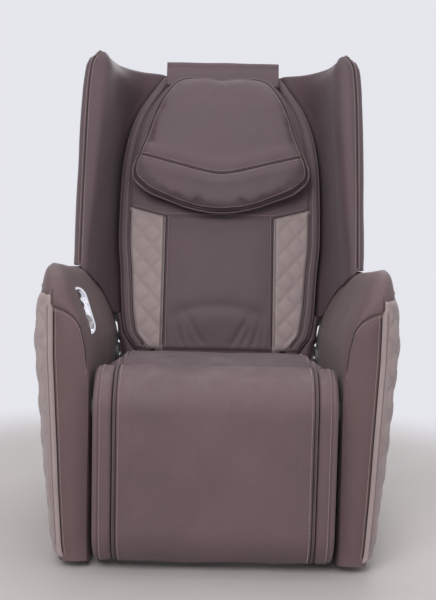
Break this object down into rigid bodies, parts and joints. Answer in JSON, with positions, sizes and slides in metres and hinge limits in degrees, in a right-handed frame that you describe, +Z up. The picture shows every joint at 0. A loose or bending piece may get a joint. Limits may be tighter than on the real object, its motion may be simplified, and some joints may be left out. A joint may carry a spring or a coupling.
{
  "type": "massage chair",
  "caption": "Reclining massage armchair with winged back, padded armrests, head pillow and a leg rest that lifts and flips over to calf massage channels.",
  "frame": {"origin": "floor level, at the centre of the bounding box", "axes": "+X across the chair, +Y towards its back, +Z up; the sitter faces -Y"},
  "size_m": [0.7398, 0.9392, 1.0508],
  "materials": {
    "brown_leather": "semi-matt smooth leather",
    "quilted_panel": "matt quilted leather",
    "painted_steel": "satin black powder coat",
    "bright_steel": "ground steel",
    "chrome_trim": "polished",
    "brushed_metal": "turned and brushed",
    "black_plastic": "matt moulded",
    "cast_alloy": "cast, bead blasted",
    "rear_vinyl": "matt backing leather",
    "black_rubber": "matt",
    "roller_plastic": "smooth"
  },
  "bodies": {
    "base": {"base_frame": "painted_steel", "side_plate_left": "painted_steel", "side_plate_right": "painted_steel", "floor_glides": "black_rubber", "recline_pins": "bright_steel", "lift_pins": "bright_steel", "armrest_left": "brown_leather", "armrest_right": "brown_leather", "side_panel_left": "quilted_panel", "side_panel_right": "quilted_panel", "rear_skirt": "black_plastic", "electronics_tray": "painted_steel", "control_box": "black_plastic", "air_pump": "cast_alloy", "air_valves": "cast_alloy", "power_inlet": "black_plastic", "wheel_axle": "bright_steel", "seat_pan": "painted_steel", "seat_cushion": "brown_leather", "controller_bezel": "chrome_trim", "actuator_foot": "painted_steel"},
    "power_rocker": {"power_switch": "black_plastic"},
    "wheel_left": {"transport_wheel_left": "black_rubber"},
    "wheel_right": {"transport_wheel_right": "black_rubber"},
    "dial": {"controller_dial": "brushed_metal"},
    "button_up": {"controller_button_up": "black_plastic"},
    "button_down": {"controller_button_down": "black_plastic"},
    "actuator_barrel": {"actuator_tube": "black_plastic"},
    "actuator_push_rod": {"actuator_rod": "bright_steel"},
    "leg_rest_arms": {"leg_arm_left": "brown_leather", "leg_arm_right": "brown_leather", "flip_shaft": "bright_steel"},
    "calf_unit": {"calf_core": "black_plastic", "calf_pad": "brown_leather", "calf_lining_left": "quilted_panel", "calf_lining_right": "quilted_panel"},
    "backrest": {"back_frame": "painted_steel", "guide_rail_left": "bright_steel", "guide_rail_right": "bright_steel", "rear_cover": "rear_vinyl", "wing_left": "brown_leather", "wing_right": "brown_leather", "back_cushion": "brown_leather", "pillow_strap": "brown_leather"},
    "pillow": {"head_pillow": "brown_leather"},
    "carriage": {"massage_carriage": "black_plastic", "massage_motor": "cast_alloy", "travel_motor": "cast_alloy"},
    "wheels_upper": {"guide_axle_upper": "bright_steel"},
    "wheels_lower": {"guide_axle_lower": "bright_steel"},
    "kneading_arm_left": {"massage_arm_left": "painted_steel"},
    "kneading_arm_right": {"massage_arm_right": "painted_steel"},
    "roller_ul": {"massage_roller_ul": "roller_plastic"},
    "roller_ur": {"massage_roller_ur": "roller_plastic"},
    "roller_ll": {"massage_roller_ll": "roller_plastic"},
    "roller_lr": {"massage_roller_lr": "roller_plastic"}
  },
  "joints": [
    {"name": "recline", "type": "hinge", "parent": "base", "child": "backrest", "pos_m": [0, 0.13, 0.33], "axis": [-1, 0, 0], "range_deg": [0, 45]},
    {"name": "leg_lift", "type": "hinge", "parent": "base", "child": "leg_rest_arms", "pos_m": [0, -0.39, 0.312], "axis": [-1, 0, 0], "range_deg": [0, 85]},
    {"name": "calf_flip", "type": "hinge", "parent": "leg_rest_arms", "child": "calf_unit", "pos_m": [0, -0.39, 0.201], "axis": [-1, 0, 0], "range_deg": [0, 180]},
    {"name": "pillow_flip", "type": "hinge", "parent": "backrest", "child": "pillow", "pos_m": [0, 0.29425, 1.03873], "axis": [-1, 0, 0], "range_deg": [0, 170]},
    {"name": "carriage_travel", "type": "slide", "parent": "backrest", "child": "carriage", "axis": [0, 0.309, 0.9511], "range_m": [-0.22, 0.13]},
    {"name": "upper_wheels_roll", "type": "hinge", "parent": "carriage", "child": "wheels_upper", "pos_m": [0, 0.32983, 0.75085], "axis": [1, 0, 0], "continuous": true},
    {"name": "lower_wheels_roll", "type": "hinge", "parent": "carriage", "child": "wheels_lower", "pos_m": [0, 0.29769, 0.65194], "axis": [1, 0, 0], "continuous": true},
    {"name": "knead_left", "type": "hinge", "parent": "carriage", "child": "kneading_arm_left", "pos_m": [-0.062, 0.29474, 0.70757], "axis": [0, 0.9511, -0.309], "range_deg": [-8, 8]},
    {"name": "knead_right", "type": "hinge", "parent": "carriage", "child": "kneading_arm_right", "pos_m": [0.062, 0.29474, 0.70757], "axis": [0, 0.9511, -0.309], "range_deg": [-8, 8]},
    {"name": "roller_spin_ul", "type": "hinge", "parent": "kneading_arm_left", "child": "roller_ul", "pos_m": [-0.077, 0.30555, 0.78292], "axis": [1, 0, 0], "continuous": true},
    {"name": "roller_spin_ur", "type": "hinge", "parent": "kneading_arm_right", "child": "roller_ur", "pos_m": [0.077, 0.30555, 0.78292], "axis": [1, 0, 0], "continuous": true},
    {"name": "roller_spin_ll", "type": "hinge", "parent": "kneading_arm_left", "child": "roller_ll", "pos_m": [-0.077, 0.2592, 0.64026], "axis": [1, 0, 0], "continuous": true},
    {"name": "roller_spin_lr", "type": "hinge", "parent": "kneading_arm_right", "child": "roller_lr", "pos_m": [0.077, 0.2592, 0.64026], "axis": [1, 0, 0], "continuous": true},
    {"name": "dial_turn", "type": "hinge", "parent": "base", "child": "dial", "pos_m": [-0.25869, -0.35657, 0.4756], "axis": [0.7863, -0.4913, 0.3746], "continuous": true},
    {"name": "press_up", "type": "slide", "parent": "base", "child": "button_up", "axis": [-0.7863, 0.4913, -0.3746], "range_m": [0, 0.0015], "stiffness_N_per_m": 600, "springref_m": -0.0004},
    {"name": "press_down", "type": "slide", "parent": "base", "child": "button_down", "axis": [-0.7863, 0.4913, -0.3746], "range_m": [0, 0.0015], "stiffness_N_per_m": 600, "springref_m": -0.0004},
    {"name": "power_rocker_tilt", "type": "hinge", "parent": "base", "child": "power_rocker", "pos_m": [-0.11, 0.335, 0.13], "axis": [1, 0, 0], "range_deg": [-10, 10]},
    {"name": "wheel_left_spin", "type": "hinge", "parent": "base", "child": "wheel_left", "pos_m": [-0.188, 0.272, 0.034], "axis": [1, 0, 0], "continuous": true},
    {"name": "wheel_right_spin", "type": "hinge", "parent": "base", "child": "wheel_right", "pos_m": [0.188, 0.272, 0.034], "axis": [1, 0, 0], "continuous": true},
    {"name": "actuator_swing", "type": "hinge", "parent": "base", "child": "actuator_barrel", "pos_m": [0, 0, 0.12], "axis": [1, 0, 0], "range_deg": [-7, 0.5]},
    {"name": "actuator_stroke", "type": "slide", "parent": "actuator_barrel", "child": "actuator_push_rod", "axis": [0, 0.628, 0.7782], "range_m": [-0.035, 0.0005]}
  ],
  "couplings": [
    {"joint": "actuator_stroke", "follows": "recline", "m_per_rad": -0.0434},
    {"joint": "actuator_swing", "follows": "recline", "ratio": -0.1434},
    {"joint": "upper_wheels_roll", "follows": "carriage_travel", "rad_per_m": -76.923},
    {"joint": "lower_wheels_roll", "follows": "carriage_travel", "rad_per_m": -76.923},
    {"joint": "knead_right", "follows": "knead_left", "ratio": -1}
  ]
}
